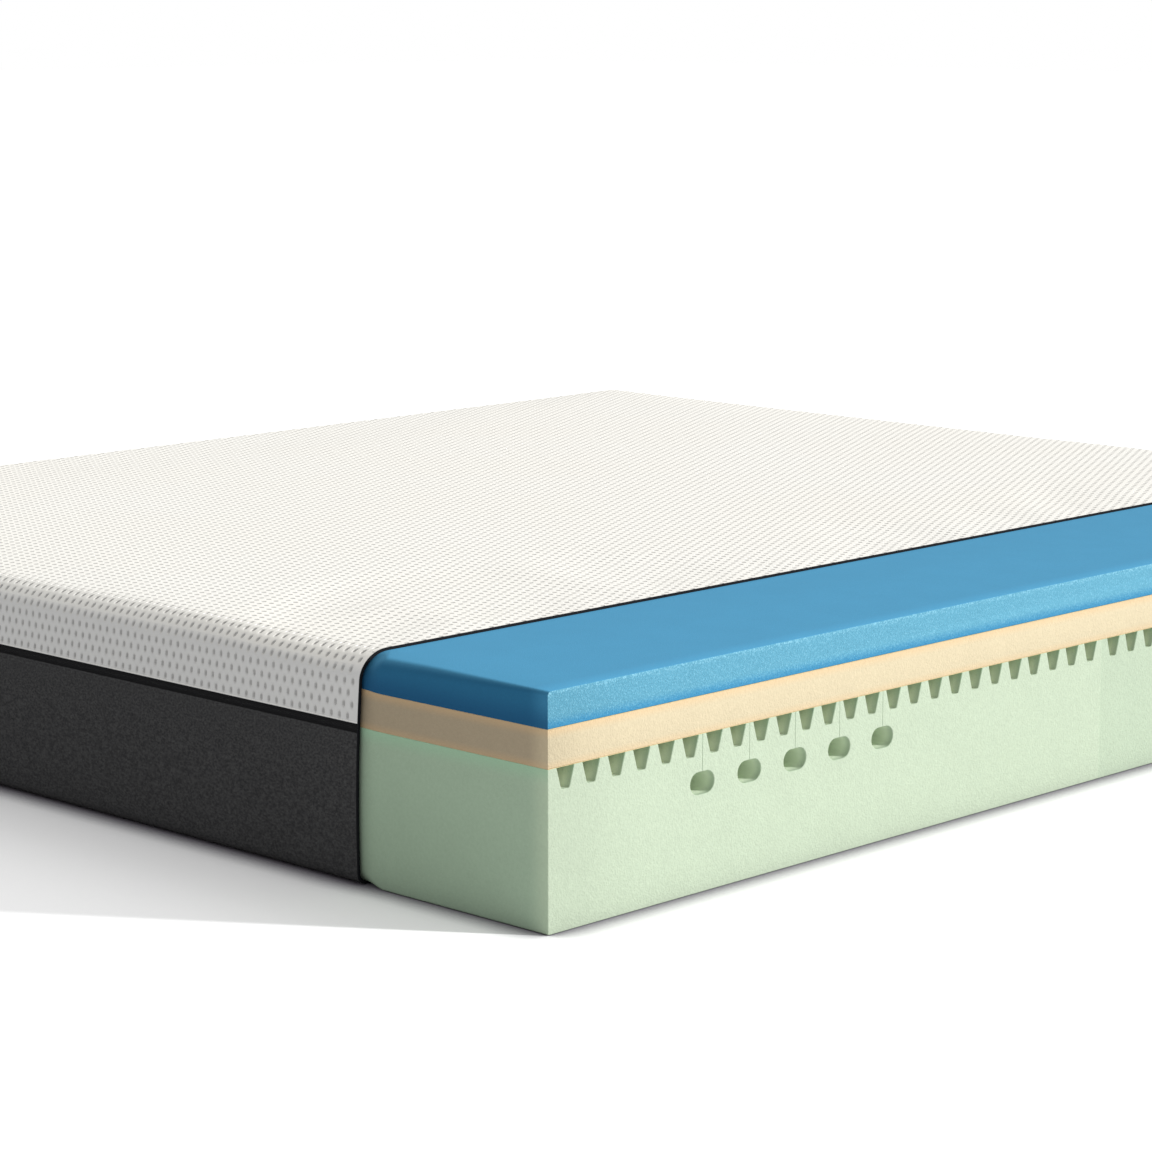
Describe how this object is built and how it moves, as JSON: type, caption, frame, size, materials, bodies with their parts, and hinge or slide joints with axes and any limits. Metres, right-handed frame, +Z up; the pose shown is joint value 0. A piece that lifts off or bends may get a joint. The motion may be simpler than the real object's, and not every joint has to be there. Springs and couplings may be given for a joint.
{
  "type": "memory foam mattress",
  "caption": "Rectangular foam mattress with glued layers, a grooved base and a zipped cover that is cut back along one long side to show the core.",
  "frame": {"origin": "middle of the underside, on the surface that the mattress lies on", "axes": "+Z up, +Y along the length, +X across the width towards the long side where the foam is bare"},
  "size_m": [1.8011, 2, 0.26],
  "materials": {
    "blue_foam": "open-cell gel-blue comfort foam, fine sparkling cells",
    "cream_foam": "fine-celled cream memory foam",
    "green_foam": "fine-celled pale green base foam, sawn",
    "glue": "dried foam adhesive",
    "white_knit": "thick white spacer knit with small oval holes",
    "charcoal_fabric": "plain woven charcoal side fabric",
    "base_fabric": "dark non-slip base fabric",
    "zip_tape": "black herringbone zip tape",
    "zip_coil": "black nylon coil",
    "zip_metal": "black enamelled die cast zinc",
    "binding": "narrow black edge binding",
    "thread": "black polyester sewing thread",
    "label": "blank white satin label"
  },
  "bodies": {
    "mattress": {"blue_comfort_layer": "blue_foam", "cream_memory_layer": "cream_foam", "base_foam_shoulder_block": "green_foam", "base_foam_leg_block": "green_foam", "upper_glue_film": "glue", "lower_glue_film": "glue", "base_joint_glue": "glue", "knit_top_cover": "white_knit", "side_border": "charcoal_fabric", "base_panel": "base_fabric", "base_seam_thread": "thread", "upper_seam_thread": "thread", "lower_seam_thread": "thread", "cut_edge_binding": "binding", "upper_zip_tape": "zip_tape", "lower_zip_tape": "zip_tape", "upper_zip_coil": "zip_coil", "lower_zip_coil": "zip_coil", "zip_end_stop": "zip_metal", "care_label": "label"},
    "zip_slider": {"zip_slider": "zip_metal"},
    "zip_pull": {"zip_pull_tab": "zip_metal"}
  },
  "joints": [
    {"name": "zip_slide", "type": "slide", "parent": "mattress", "child": "zip_slider", "axis": [0, 1, 0], "range_m": [0, 1.8]},
    {"name": "pull_hinge", "type": "hinge", "parent": "zip_slider", "child": "zip_pull", "pos_m": [-0.89911, -0.9, 0.1764], "axis": [0.0561, 0, 0.9984], "range_deg": [-165, 0]}
  ]
}
